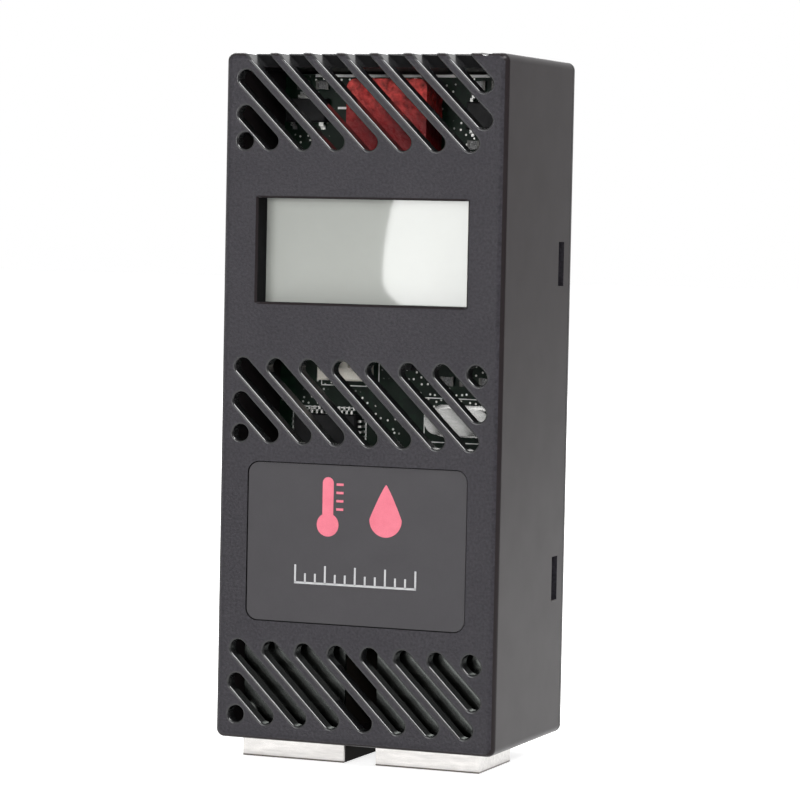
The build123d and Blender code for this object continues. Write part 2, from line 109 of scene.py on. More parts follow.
# a mix node set to colours uses these of its many sockets
def mixTones(tree, factor, first, second, blend="MIX"):
    node = addNode(tree, "ShaderNodeMix", data_type="RGBA", blend_type=blend)
    sockets = {"Factor": node.inputs[0], "A": node.inputs[6], "B": node.inputs[7]}
    for key, value in (("Factor", factor), ("A", first), ("B", second)):
        if isinstance(value, bpy.types.NodeSocket):
            tree.links.new(value, sockets[key])
        elif key == "Factor":
            sockets[key].default_value = value
        else:
            sockets[key].default_value = (*value, 1)
    return node.outputs[2]


def bump(tree, height, depth, strength):
    inputs = {"Height": height, "Distance": depth * mm, "Strength": strength}
    return addNode(tree, "ShaderNodeBump", inputs).outputs["Normal"]


# what a finish has where its own look says nothing
plainLook = {
    "metal": 0.0,
    "ior": 1.46,
    "shine": 0.5,
    "speckle": 0.1,  # mean loss of tone in the grain
    "grainStrength": 0.5,
    "stretch": (1, 1, 1),
    "spread": (0.3, 0.7),  # noise values that give the first and the second tone
    "patchDetail": 3.0,
    "grainDetail": 4.0,
    "glossDetail": 2.0,
    "glossShare": 0.4,  # size of a gloss patch in colour patches
}


# one finish: two tones of a colour in soft patches, a wandering gloss and a fine surface grain
def finish(name, ownLook):
    look = {**plainLook, **ownLook}
    material, tree, shader = startMaterial(name)
    shader.inputs["Metallic"].default_value = look["metal"]
    shader.inputs["IOR"].default_value = look["ior"]
    shader.inputs["Specular IOR Level"].default_value = look["shine"]
    spread, stretch = look["spread"], look["stretch"]
    patches = noiseField(tree, look["patchSize"], look["patchDetail"], stretch)
    tone = ramp(tree, patches, spread, look["tones"])
    grain = noiseField(tree, look["grainSize"], look["grainDetail"], stretch)
    shade = ramp(tree, grain, spread, (1 - 2 * look["speckle"], 1.0))
    tree.links.new(mixTones(tree, 1.0, tone, shade, "MULTIPLY"), shader.inputs["Base Color"])
    gloss = noiseField(tree, look["patchSize"] * look["glossShare"], look["glossDetail"], stretch)
    tree.links.new(ramp(tree, gloss, spread, look["rough"]), shader.inputs["Roughness"])
    normal = bump(tree, grain, look["grainDepth"], look["grainStrength"])
    tree.links.new(normal, shader.inputs["Normal"])
    return material


# a finish's tree, its shader and the tone that reaches the shader
def openFinish(material):
    tree = material.node_tree
    shader = tree.nodes["Principled BSDF"]
    return tree, shader, shader.inputs["Base Color"].links[0].from_socket


def dressNode(name, material):
    mesh = nodes[name].data
    mesh.materials.clear()
    mesh.materials.append(material)


def dress(slot, material):
    for name, slotName in slotOfNode.items():
        if slotName == slot:
            dressNode(name, material)


# smooth shading that leaves flat faces flat: a face corner takes the normal of the largest faces
# round it that lie within the angle
def smoothNormals(bm, angle):
    bmesh.ops.recalc_face_normals(bm, faces=bm.faces)
    bm.normal_update()
    limit = math.cos(math.radians(angle))
    weights = [(face.calc_area() / mm ** 2) ** 2 for face in bm.faces]
    bm.faces.index_update()
    normals = []
    for face in bm.faces:
        face.smooth = True
        for vert in face.verts:
            total = Vector()
            for other in vert.link_faces:
                if face.normal.dot(other.normal) > limit:
                    total += other.normal * weights[other.index]
            normals.append(total.normalized())
    return normals


def finishPiece(name, bm, materials, replaced=(), normals=()):
    if not normals:
        bmesh.ops.recalc_face_normals(bm, faces=bm.faces)
    mesh = bpy.data.meshes.new(name)
    bm.to_mesh(mesh)
    bm.free()
    if normals:
        mesh.normals_split_custom_set(normals)
    for material in materials:
        mesh.materials.append(material)
    piece = bpy.data.objects.new(name, mesh)
    bpy.context.scene.collection.objects.link(piece)
    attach(piece, "root")
    if replaced:
        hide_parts(*replaced)


# case: dark grey moulding, its front textured and its sides and vent walls smooth
# normals are told apart by the share that lies along one axis
smoothLook = {
    "tones": ((0.0165, 0.0133, 0.0142), (0.0188, 0.0154, 0.0164)),
    "patchSize": 14.0,
    "rough": (0.28, 0.32),
    "grainSize": 0.5,
    "grainDepth": 0.01,
    "grainStrength": 0.04,
    "speckle": 0.02,
    "shine": 0.077,
}
rearLook = {
    "tones": ((0.027, 0.0255, 0.026), (0.031, 0.0295, 0.030)),
    "patchSize": 9.0,
    "rough": (0.38, 0.46),
    "grainSize": 0.4,
    "grainDepth": 0.05,
    "grainStrength": 0.4,
    "speckle": 0.1,
    "shine": 0.35,
}
wallLook = {
    "tones": ((0.018, 0.018, 0.019), (0.022, 0.022, 0.023)),
    "patchSize": 5.0,
    "rough": (0.15, 0.19),
    "grainSize": 0.3,
    "grainDepth": 0.01,
    "grainStrength": 0.1,
    "speckle": 0.04,
    "shine": 0.4,
}
# painted shade: the case plastic near-black and barely reflecting, for the window walls, the label gap and
# the notch ends
recessShadeLook = {
    "tones": ((0.009, 0.009, 0.0095), (0.012, 0.012, 0.0125)),
    "patchSize": 5.0,
    "rough": (0.5, 0.6),
    "grainSize": 0.3,
    "grainDepth": 0.02,
    "grainStrength": 0.2,
    "ior": 1.05,
    "window": (17.2, 12.9, 30.0),  # half width, lower end, upper end
    "windowDepth": 0.5,
    "labelGap": 0.3,
    "labelDepth": 0.1,
    "notchDepth": 3.5,
    "notchLow": 46.0,
}
caseLook = {
    "tones": ((0.026, 0.0235, 0.0298), (0.0315, 0.0288, 0.0355)),
    "patchSize": 9.0,
    "rough": (0.40, 0.48),
    "grainSize": 0.4,
    "grainDepth": 0.12,
    "grainStrength": 1.0,
    "speckle": 0.3,
    "shine": 0.24,
    "rimRadius": 0.3,
    "rimDepth": 1.6,
    "rimSegments": 5,
    "rimAngle": 38.0,
    "sharpAngle": 34.0,
    "textureTo": 0.8,  # the texture runs round the front's edges to normals with this much forward
    "frontWall": 4.6,
    "ventBands": ((35.0, 50.1), (-7.5, 7.5), (-49.0, -34.5)),
    "ventHalfWidth": 20.4,
    "ventTop": 49.9,
    "cornerScallop": (16.9, 49.2),
    "wallTilt": 0.02,  # most that a vent wall's normal has along Y
    "skinTilt": 0.1,  # least that an outer face's normal has forward
    "facing": 0.9,  # least along an axis for a face that looks that way
    "slack": 0.01,
}


def inVents(place, look, front):
    inBand = any(low < place.z < high for low, high in look["ventBands"])
    return inBand and place.y < front + look["frontWall"]


def isVentWall(face, look, front):
    middle = face.calc_center_median() / mm
    inner = abs(middle.x) < look["ventHalfWidth"] and middle.z < look["ventTop"]
    return abs(face.normal.y) < look["wallTilt"] and inner and inVents(middle, look, front)


# window walls, the gap round the label and the far ends of the notches in the top stand in the shade; they
# take a near-black, barely reflecting finish as painted shade
def isRecess(face, look, front, labelBox):
    middle = face.calc_center_median() / mm
    depth = middle.y - front
    halfWidth, low, high = look["window"]
    inWindow = abs(middle.x) < halfWidth and low < middle.z < high and depth > look["windowDepth"]
    labelLow, labelHigh = labelBox
    gap = look["labelGap"]
    besideLabel = abs(middle.x) < labelHigh.x + gap and labelLow.z - gap < middle.z < labelHigh.z + gap
    inLabelGap = besideLabel and look["labelDepth"] < depth
    looksForward = face.normal.y < -caseLook["facing"]
    notchEnd = looksForward and middle.z > look["notchLow"] and depth > look["notchDepth"]
    return depth < caseLook["frontWall"] and (inWindow or inLabelGap or notchEnd)


def isVentRim(edge, look, front, top):
    if len(edge.link_faces) != 2 or edge.calc_face_angle(0) < math.radians(look["rimAngle"]):
        return False
    middle = (edge.verts[0].co + edge.verts[1].co) / 2 / mm
    atTop = middle.z > top - look["slack"]
    atSkin = atTop or middle.y < front + look["rimDepth"]
    if not atSkin or not inVents(middle, look, front):
        return False
    scallopX, scallopZ = look["cornerScallop"]
    if middle.x > scallopX and middle.z > scallopZ:
        return False
    first, second = edge.link_faces
    for wall, skin in ((first, second), (second, first)):
        onTop = atTop and skin.normal.z > look["facing"]
        if abs(wall.normal.y) < look["wallTilt"] and (onTop or skin.normal.y < -look["skinTilt"]):
            return True
    return False


def onFront(face, level):
    return all(abs(vert.co.y - level) < touching for vert in face.verts)


def roundedHousing(name, look, finishes):
    low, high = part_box(name)
    front, top = low.y / mm, high.z / mm
    labelBox = [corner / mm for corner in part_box("label")]
    place = {key: index for index, key in enumerate(finishes)}
    bm = bmesh.new()
    bm.from_mesh(nodes[name].data)
    bmesh.ops.remove_doubles(bm, verts=bm.verts, dist=touching)
    rims = [edge for edge in bm.edges if isVentRim(edge, look, front, top)]
    rounded = bmesh.ops.bevel(
        bm, geom=rims, offset=look["rimRadius"] * mm, affect="EDGES", segments=look["rimSegments"],
        profile=0.5, material=-1, clamp_overlap=False, loop_slide=False,
    )
    for vert in bm.verts:
        vert.co.z = min(vert.co.z, high.z)
    bm.normal_update()
    for face in bm.faces:
        kind = "ventWalls" if isVentWall(face, look, front) else "smooth"
        if face.normal.y < -look["textureTo"]:
            kind = "textured"
        # faces in the recesses take the painted shade
        if isRecess(face, recessShadeLook, front, labelBox):
            kind = "recess"
        face.material_index = place[kind]
    for face in rounded["faces"]:
        face.material_index = place["ventWalls"]
    # the flat front is filled afresh between the new rims
    flat = [face for face in bm.faces if onFront(face, low.y)]
    bmesh.ops.delete(bm, geom=flat, context="FACES_ONLY")
    loose = [edge for edge in bm.edges if not edge.link_faces]
    bmesh.ops.delete(bm, geom=loose, context="EDGES")
    rim = [edge for edge in bm.edges if len(edge.link_faces) == 1]
    bmesh.ops.triangle_fill(bm, edges=rim, use_beauty=True, use_dissolve=False, normal=(0, -1, 0))
    normals = smoothNormals(bm, look["sharpAngle"])
    for face in bm.faces:
        if onFront(face, low.y):
            face.material_index = place["textured"]
    finishPiece("ventedCase", bm, finishes.values(), (name,), normals)


dress("case_plastic", finish("caseRear", rearLook))
caseFinishes = {
    "textured": finish("caseTextured", caseLook),
    "smooth": finish("caseSmooth", smoothLook),
    "ventWalls": finish("caseVentWalls", wallLook),
    "recess": finish("caseRecessShade", recessShadeLook),
}
roundedHousing("front_housing", caseLook, caseFinishes)
print("case dressed")

# label: smooth satin film with a few printed marks
labelLook = {
    "tones": ((0.0408, 0.0386, 0.0422), (0.0456, 0.0433, 0.0471)),
    "patchSize": 6.0,
    "rough": (0.36, 0.44),
    "grainSize": 0.2,
    "grainDepth": 0.01,
    "grainStrength": 0.25,
    "speckle": 0.04,
    "shine": 0.2,
}
dress("label_film", finish("labelFilm", labelLook))

# printed marks: a gauge and a drop in pink, a scale rule in a pale tone
markLook = {
    "thickness": 0.03,
    "bulbThickness": 0.024,  # thinner than the stem that it meets
    "pink": ((0.64, 0.125, 0.18), (0.70, 0.155, 0.215)),
    "pale": ((0.42, 0.42, 0.43), (0.50, 0.50, 0.51)),
    "gaugeCentre": (-4.4, -15.4),
    "gaugeHeight": 8.6,
    "bulbRadius": 1.7,
    "stemWidth": 1.7,
    "stemRound": 0.49,  # corner radius in stem widths
    "gaugeTicks": 4,
    "gaugeTickFrom": 2.3,
    "gaugeTickPitch": 1.2,
    "gaugeTickSize": (1.1, 0.35),
    "gaugeTickGap": 1.0,
    "dropCentre": (4.6, -15.6),
    "dropRadius": 2.5,
    "dropHeight": 7.6,
    "dropPoint": 0.35,  # power of the taper towards the tip
    "scaleWidth": 19.0,
    "scaleLevel": -26.6,
    "scaleLine": 0.3,
    "scaleTicks": 13,
    "longTickEvery": 3,
    "tickWidth": 0.28,
    "tickHeights": (2.6, 1.4),
    "cornerSegments": 6,
    "discSegments": 48,
}


def inkFinish(name, tones):
    return finish(name, {
        "tones": tones,
        "patchSize": 2.0,
        "rough": (0.38, 0.5),
        "grainSize": 0.12,
        "grainDepth": 0.008,
        "grainStrength": 0.3,
    })


# thin bar standing off a face that looks to -Y; x and z are its centre
def addBar(bm, width, height, x, z, back, thickness, cornerRadius=0.0):
    place = Matrix.Translation(Vector((x, back - thickness / 2, z)) * mm)
    size = Matrix.Diagonal((width * mm, thickness * mm, height * mm, 1))
    made = bmesh.ops.create_cube(bm, size=1.0, matrix=place @ size)
    if cornerRadius:
        edges = {edge for vert in made["verts"] for edge in vert.link_edges}
        corners = [edge for edge in edges if abs((edge.verts[0].co - edge.verts[1].co).y) > touching]
        bmesh.ops.bevel(
            bm, geom=corners, offset=cornerRadius * mm, affect="EDGES", segments=markLook["cornerSegments"],
            profile=0.5, material=-1,
        )


# thin disc on the same face, pulled to a point upwards where a tip height is given
def addDisc(bm, radius, x, z, back, thickness, tip=0.0):
    turn = Matrix.Rotation(math.radians(90), 4, "X")
    place = Matrix.Translation(Vector((x, back, z)) * mm)
    made = bmesh.ops.create_circle(
        bm, cap_ends=True, segments=markLook["discSegments"], radius=radius * mm, matrix=place @ turn,
    )
    for vert in made["verts"]:
        rise = (vert.co.z / mm - z) / radius
        if tip and rise > 0:
            vert.co.z += rise * rise * (tip - radius) * mm
            vert.co.x = x * mm + (vert.co.x - x * mm) * (1 - rise) ** markLook["dropPoint"]
    faces = list({face for vert in made["verts"] for face in vert.link_faces})
    raised = bmesh.ops.extrude_face_region(bm, geom=faces)
    verts = [item for item in raised["geom"] if isinstance(item, bmesh.types.BMVert)]
    bmesh.ops.translate(bm, verts=verts, vec=Vector((0, -thickness, 0)) * mm)


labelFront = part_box("label")[0].y / mm
thick = markLook["thickness"]

pinkMarks = bmesh.new()
gaugeX, gaugeZ = markLook["gaugeCentre"]
bulbZ = gaugeZ - markLook["gaugeHeight"] / 2 + markLook["bulbRadius"]
stemHigh = gaugeZ + markLook["gaugeHeight"] / 2
addDisc(pinkMarks, markLook["bulbRadius"], gaugeX, bulbZ, labelFront, markLook["bulbThickness"])
addBar(
    pinkMarks, markLook["stemWidth"], stemHigh - bulbZ, gaugeX, (bulbZ + stemHigh) / 2,
    labelFront, thick, markLook["stemWidth"] * markLook["stemRound"],
)
gaugeTickX = gaugeX + markLook["stemWidth"] / 2 + markLook["gaugeTickGap"]
for step in range(markLook["gaugeTicks"]):
    tickZ = bulbZ + markLook["gaugeTickFrom"] + step * markLook["gaugeTickPitch"]
    addBar(pinkMarks, *markLook["gaugeTickSize"], gaugeTickX, tickZ, labelFront, thick)
dropX, dropZ = markLook["dropCentre"]
dropLow = dropZ - markLook["dropHeight"] / 2
addDisc(
    pinkMarks, markLook["dropRadius"], dropX, dropLow + markLook["dropRadius"], labelFront, thick,
    markLook["dropHeight"] - markLook["dropRadius"],
)
finishPiece("labelPictures", pinkMarks, [inkFinish("pinkInk", markLook["pink"])])

paleMarks = bmesh.new()
scaleZ = markLook["scaleLevel"]
addBar(paleMarks, markLook["scaleWidth"], markLook["scaleLine"], 0, scaleZ, labelFront, thick)
longHeight, shortHeight = markLook["tickHeights"]
for step in range(markLook["scaleTicks"]):
    share = step / (markLook["scaleTicks"] - 1) - 0.5
    height = shortHeight if step % markLook["longTickEvery"] else longHeight
    tickX = share * (markLook["scaleWidth"] - markLook["tickWidth"])
    addBar(paleMarks, markLook["tickWidth"], height, tickX, scaleZ + height / 2, labelFront, thick)
finishPiece("labelScale", paleMarks, [inkFinish("paleInk", markLook["pale"])])
print("label dressed and printed")

# display: clear gloss film over a grey-green field
displayLook = {
    "tones": ((0.334, 0.346, 0.322), (0.345, 0.357, 0.333)),
    "patchSize": 14.0,
    "rough": (0.015, 0.025),
    "grainSize": 3.0,
    "grainDepth": 0.002,
    "grainStrength": 0.05,
    "speckle": 0.008,
    "ior": 1.5,
}
dress("polarizer_film", finish("displayFilm", displayLook))

glassLook = {
    "tones": ((0.80, 0.88, 0.82), (0.86, 0.92, 0.87)),
    "patchSize": 10.0,
    "rough": (0.01, 0.03),
    "grainSize": 4.0,
    "grainDepth": 0.001,
    "ior": 1.52,
    "clearness": 0.85,
}
displayGlass = finish("displayGlass", glassLook)
glassShader = openFinish(displayGlass)[1]
glassShader.inputs["Transmission Weight"].default_value = glassLook["clearness"]
dress("lcd_glass", displayGlass)

reflectorLook = {
    "tones": ((0.46, 0.49, 0.45), (0.55, 0.57, 0.53)),
    "patchSize": 2.0,
    "rough": (0.3, 0.42),
    "grainSize": 0.1,
    "grainDepth": 0.01,
    "metal": 0.4,
}
dress("reflector_film", finish("reflectorFilm", reflectorLook))

holderLook = {
    "tones": ((0.66, 0.66, 0.62), (0.74, 0.74, 0.71)),
    "patchSize": 5.0,
    "rough": (0.4, 0.5),
    "grainSize": 0.3,
    "grainDepth": 0.03,
}
dress("holder_plastic", finish("holderPlastic", holderLook))

# contact strips: pale rubber with a fine dark layer at even steps
stripLook = {
    "tones": ((0.50, 0.50, 0.47), (0.58, 0.58, 0.55)),
    "patchSize": 3.0,
    "rough": (0.5, 0.62),
    "grainSize": 0.2,
    "grainDepth": 0.02,
    "layerPitch": 0.5,
    "layerTone": (0.03, 0.03, 0.03),
    "layerEdge": (0.55, 0.7),
    "wavePitch": 0.314,  # pitch of Blender's wave texture at scale 1
}
stripRubber = finish("stripRubber", stripLook)
tree, shader, rubberTone = openFinish(stripRubber)
waveScale = stripLook["wavePitch"] / (stripLook["layerPitch"] * mm)
layerInputs = {"Vector": placedCoords(tree), "Scale": waveScale}
layers = addNode(tree, "ShaderNodeTexWave", layerInputs, bands_direction="X").outputs["Fac"]
layerMask = ramp(tree, layers, stripLook["layerEdge"], (0.0, 1.0))
tree.links.new(mixTones(tree, layerMask, rubberTone, stripLook["layerTone"]), shader.inputs["Base Color"])
dress("connector_rubber", stripRubber)
print("display dressed")

# board: green mask over copper runs, with tinned dots
boardLook = {
    "tones": ((0.0018, 0.0075, 0.0042), (0.0030, 0.0120, 0.0062)),
    "patchSize": 4.0,
    "rough": (0.34, 0.46),
    "grainSize": 0.4,
    "grainDepth": 0.02,
    "shine": 0.12,
    "runTone": (0.0030, 0.0135, 0.0065),
    "runPitch": 1.6,
    "runScatter": 0.35,
    "runEdge": (0.62, 0.70),
    "dotTone": (0.42, 0.42, 0.40),
    "dotPitch": 1.05,
    "dotScatter": 0.6,
    "dotEdge": (0.12, 0.17),
    "dotGroups": 5.0,
    "groupDetail": 1.0,
    "groupEdge": (0.53, 0.57),
    "printTones": ((0.92, 0.92, 0.90), (0.97, 0.97, 0.95)),
    "printThickness": 0.04,
    "printLine": (-14.5, 14.2, 47.38, 0.42),  # left end, right end, level, width
    "printTick": (1.5, 46.5, 0.5, 1.2),  # across, level, width, height
    "printDash": (-10.0, 42.6, 1.6, 0.34),
    "outlined": ("microcontroller", "crystal", "humidity_sensor"),
    "outlineGap": 0.9,
    "outlineWidth": 0.13,
}
boardMask = finish("boardMask", boardLook)
tree, shader, maskTone = openFinish(boardMask)


# distance to the points of a scattered grid
def scatteredGrid(tree, coords, pitch, scatter, **settings):
    inputs = {"Vector": coords, "Scale": 1 / (pitch * mm), "Randomness": scatter}
    return addNode(tree, "ShaderNodeTexVoronoi", inputs, **settings).outputs["Distance"]


runs = scatteredGrid(
    tree, placedCoords(tree), boardLook["runPitch"], boardLook["runScatter"],
    distance="CHEBYCHEV", feature="F2",
)
runMask = ramp(tree, runs, boardLook["runEdge"], (0.0, 1.0))
# dots lie in groups on the board's own plane
planeInputs = {"Vector": placedCoords(tree), "Rotation": (math.radians(90), 0, 0)}
plane = addNode(tree, "ShaderNodeMapping", planeInputs).outputs["Vector"]
dots = scatteredGrid(
    tree, plane, boardLook["dotPitch"], boardLook["dotScatter"], voronoi_dimensions="2D",
)
dotField = ramp(tree, dots, boardLook["dotEdge"], (1.0, 0.0))
groupField = noiseField(tree, boardLook["dotGroups"], boardLook["groupDetail"])
groups = ramp(tree, groupField, boardLook["groupEdge"], (0.0, 1.0))
dotMask = addNode(tree, "ShaderNodeMath", {0: dotField, 1: groups}, operation="MULTIPLY").outputs[0]
withRuns = mixTones(tree, runMask, maskTone, boardLook["runTone"])
tree.links.new(mixTones(tree, dotMask, withRuns, boardLook["dotTone"]), shader.inputs["Base Color"])
tree.links.new(dotMask, shader.inputs["Metallic"])
dress("board_laminate", boardMask)

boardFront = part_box("main_board")[0].y / mm
boardPrint = bmesh.new()
lineLeft, lineRight, lineZ, lineWidth = boardLook["printLine"]
printThick = boardLook["printThickness"]
addBar(boardPrint, lineRight - lineLeft, lineWidth, (lineLeft + lineRight) / 2, lineZ, boardFront, printThick)
for key in ("printTick", "printDash"):
    markX, markZ, markWidth, markHeight = boardLook[key]
    addBar(boardPrint, markWidth, markHeight, markX, markZ, boardFront, printThick)
# a printed outline round each larger part
for name in boardLook["outlined"]:
    low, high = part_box(name)
    gap, line = boardLook["outlineGap"], boardLook["outlineWidth"]
    left, right = low.x / mm - gap, high.x / mm + gap
    foot, head = low.z / mm - gap, high.z / mm + gap
    for level in (foot, head):
        addBar(boardPrint, right - left, line, (left + right) / 2, level, boardFront, printThick)
    for side in (left, right):
        addBar(boardPrint, line, head - foot - line, side, (foot + head) / 2, boardFront, printThick)
finishPiece("boardPrint", boardPrint, [inkFinish("boardInk", boardLook["printTones"])])
print("board dressed and printed")

# bright metals: a directional brush for sheet, soft patches for tin
metalLooks = {
    "shield_metal": {
        "tones": ((0.50, 0.485, 0.47), (0.55, 0.535, 0.52)),
        "patchSize": 5.0,
        "rough": (0.14, 0.22),
        "grainSize": 0.5,
        "grainDepth": 0.01,
        "grainStrength": 0.12,
        "stretch": (0.15, 1, 1),
        "metal": 1.0,
    },
    "tinned_metal": {
        "tones": ((0.24, 0.24, 0.23), (0.36, 0.36, 0.35)),
        "patchSize": 0.8,
        "rough": (0.24, 0.38),
        "grainSize": 0.15,
        "grainDepth": 0.02,
        "metal": 1.0,
    },
    "contact_metal": {
        "tones": ((0.78, 0.55, 0.22), (0.86, 0.64, 0.30)),
        "patchSize": 1.0,
        "rough": (0.14, 0.24),
        "grainSize": 0.15,
        "grainDepth": 0.01,
        "metal": 1.0,
    },
    "crystal_metal": {
        "tones": ((0.17, 0.17, 0.165), (0.24, 0.24, 0.235)),
        "patchSize": 2.0,
        "rough": (0.16, 0.22),
        "grainSize": 0.6,
        "grainDepth": 0.01,
        "grainStrength": 0.15,
        "speckle": 0.03,
        "stretch": (0.2, 1, 1),
        "metal": 1.0,
    },
    "screw_steel": {
        "tones": ((0.50, 0.50, 0.49), (0.62, 0.62, 0.62)),
        "patchSize": 0.7,
        "rough": (0.22, 0.36),
        "grainSize": 0.2,
        "grainDepth": 0.02,
        "metal": 1.0,
    },
}
for slot, look in metalLooks.items():
    dress(slot, finish(slot.split("_")[0] + "Metal", look))

# the chips' end caps are duller than the leads
capLook = {
    "tones": ((0.075, 0.074, 0.070), (0.12, 0.118, 0.112)),
    "patchSize": 0.6,
    "rough": (0.4, 0.52),
    "grainSize": 0.1,
    "grainDepth": 0.02,
    "metal": 1.0,
}
dressNode("chip_terminals", finish("capTin", capLook))

# shields: painted shade makes them greenish grey and dull behind the vents, a painted contact shadow draws a
# dark line at the mouth, and painted shade darkens them between the two sockets
shieldLook = {
    "insideShadeTone": (0.105, 0.112, 0.106),
    "insideShadeFrom": (-49.9, -49.2),
    "rimShadowTone": (0.10, 0.09, 0.08),
    "rimShadowFrom": (-52.72, -52.62),
    "gapShadeTone": (0.020, 0.017, 0.014),
    "gapShadeIor": 1.05,
    "gapHalf": (2.70, 2.78),
    "gapFront": (-26.3, -26.2),
}


# 0 below the first place along an axis and 1 above the second; along X it counts from the middle
def passing(tree, axis, places):
    coords = addNode(tree, "ShaderNodeTexCoord").outputs["Object"]
    along = addNode(tree, "ShaderNodeSeparateXYZ", {"Vector": coords}).outputs[axis]
    if axis == "X":
        along = addNode(tree, "ShaderNodeMath", {0: along}, operation="ABSOLUTE").outputs[0]
    inputs = {"Value": along, "From Min": places[0] * mm, "From Max": places[1] * mm}
    return addNode(tree, "ShaderNodeMapRange", inputs).outputs[0]


tree, shader, tone = openFinish(bpy.data.materials["shieldMetal"])
# painted shade: above the case's lower edge, inside the case, the shield turns dull greenish grey
tone = mixTones(tree, passing(tree, "Z", shieldLook["insideShadeFrom"]), tone, shieldLook["insideShadeTone"])
# painted contact shadow: a dark line along the lowest edge of the shields, at the mouth
tone = mixTones(tree, passing(tree, "Z", shieldLook["rimShadowFrom"]), shieldLook["rimShadowTone"], tone)
# painted shade: between the two sockets the shields turn dark and lose their metal shine
behind = passing(tree, "Y", shieldLook["gapFront"])
apart = passing(tree, "X", shieldLook["gapHalf"])
gap = addNode(tree, "ShaderNodeMath", {0: behind, 1: apart}, operation="SUBTRACT", use_clamp=True)
between = gap.outputs[0]
tree.links.new(mixTones(tree, between, tone, shieldLook["gapShadeTone"]), shader.inputs["Base Color"])
bright = addNode(tree, "ShaderNodeMath", {0: 1.0, 1: between}, operation="SUBTRACT")
tree.links.new(bright.outputs[0], shader.inputs["Metallic"])
shader.inputs["IOR"].default_value = shieldLook["gapShadeIor"]
print("metals dressed")

# mouldings, ceramics and the red box on the board
partLooks = {
    "insert_plastic": {
        "tones": ((0.012, 0.011, 0.010), (0.020, 0.018, 0.016)),
        "patchSize": 3.0,
        "rough": (0.38, 0.5),
        "grainSize": 0.25,
        "grainDepth": 0.03,
    },
    "package_resin": {
        "tones": ((0.012, 0.012, 0.013), (0.020, 0.020, 0.021)),
        "patchSize": 1.5,
        "rough": (0.42, 0.55),
        "grainSize": 0.12,
        "grainDepth": 0.03,
        "shine": 0.15,
    },
    "capacitor_red": {
        "tones": ((0.66, 0.040, 0.038), (0.90, 0.110, 0.095)),
        "patchSize": 2.5,
        "rough": (0.26, 0.36),
        "grainSize": 1.1,
        "grainDepth": 0.3,
        "grainStrength": 0.9,
        "speckle": 0.45,
        "shine": 0.14,
    },
    "capacitor_sleeve": {
        "tones": ((0.012, 0.013, 0.030), (0.020, 0.021, 0.042)),
        "patchSize": 2.0,
        "rough": (0.22, 0.32),
        "grainSize": 0.5,
        "grainDepth": 0.02,
    },
    "sensor_plastic": {
        "tones": ((0.88, 0.83, 0.73), (0.94, 0.90, 0.81)),
        "patchSize": 1.6,
        "rough": (0.36, 0.48),
        "grainSize": 0.2,
        "grainDepth": 0.02,
    },
    "resistor_ceramic": {
        "tones": ((0.016, 0.016, 0.018), (0.028, 0.028, 0.030)),
        "patchSize": 0.6,
        "rough": (0.2, 0.34),
        "grainSize": 0.1,
        "grainDepth": 0.01,
    },
    "chip_ceramic": {
        "tones": ((0.34, 0.23, 0.13), (0.44, 0.31, 0.19)),
        "patchSize": 0.6,
        "rough": (0.34, 0.46),
        "grainSize": 0.1,
        "grainDepth": 0.02,
    },
}
for slot, look in partLooks.items():
    first, second = slot.split("_")
    dress(slot, finish(first + second.capitalize(), look))

# painted shade: the red wrap darkens towards its foot and keeps its bright tones at the top, as if lit from
# above through the top vents
capacitorShadeLook = {"footShadeTone": (0.17, 0.008, 0.010), "footShadeTo": (39.5, 45.2)}
tree, shader, tone = openFinish(bpy.data.materials["capacitorRed"])
above = passing(tree, "Z", capacitorShadeLook["footShadeTo"])
tree.links.new(mixTones(tree, above, capacitorShadeLook["footShadeTone"], tone), shader.inputs["Base Color"])
print("board parts dressed")

# stage: pale floor and a white surround for what the eye and the gloss see, softer light for the rest;
# from here on sizes are metres and turns are degrees
stageLook = {
    "floorTones": ((0.86, 0.86, 0.86), (0.90, 0.90, 0.90)),
    "floorSize": 8.0,
    "floorGap": 0.05,  # millimetres
    "floorGlow": 0.80,
    "surround": 1.0,
    "ambient": 0.22,
}


# 1 for the camera, for mirror-like bounces and for what passes through glass
def seenRays(tree):
    rays = addNode(tree, "ShaderNodeLightPath").outputs
    seen = rays["Is Camera Ray"]
    for kind in ("Is Glossy Ray", "Is Transmission Ray"):
        both = addNode(tree, "ShaderNodeMath", {0: seen, 1: rays[kind]}, operation="MAXIMUM")
        seen = both.outputs[0]
    return seen


floorMesh = bmesh.new()
bmesh.ops.create_grid(
    floorMesh, x_segments=1, y_segments=1, size=stageLook["floorSize"] / 2,
    matrix=Matrix.Translation((0, 0, cadBounds[0][2] - stageLook["floorGap"] * mm)),
)
floorPaper = finish("floorPaper", {
    "tones": stageLook["floorTones"],
    "patchSize": 60.0,
    "rough": (0.8, 0.9),
    "grainSize": 2.0,
    "grainDepth": 0.02,
})
tree, shader = openFinish(floorPaper)[:2]
shader.inputs["Emission Color"].default_value = white
glowInputs = {0: seenRays(tree), 1: stageLook["floorGlow"]}
glow = addNode(tree, "ShaderNodeMath", glowInputs, operation="MULTIPLY")
tree.links.new(glow.outputs[0], shader.inputs["Emission Strength"])


def addStageObject(name, bm, material):
    data = bpy.data.meshes.new(name)
    bm.to_mesh(data)
    bm.free()
    data.materials.append(material)
    obj = bpy.data.objects.new(name, data)
    bpy.context.scene.collection.objects.link(obj)
    return obj


def hideFromAllButGloss(obj):
    obj.visible_camera = False
    obj.visible_diffuse = False
    obj.visible_shadow = False
    obj.visible_transmission = False


addStageObject("floor", floorMesh, floorPaper)

world = bpy.data.worlds.new("studio")
bpy.context.scene.world = world
world.use_nodes = True
tree = world.node_tree
strength = addNode(tree, "ShaderNodeMapRange", {
    "Value": seenRays(tree), "To Min": stageLook["ambient"], "To Max": stageLook["surround"],
})
background = tree.nodes["Background"]
background.inputs["Color"].default_value = white
tree.links.new(strength.outputs[0], background.inputs["Strength"])

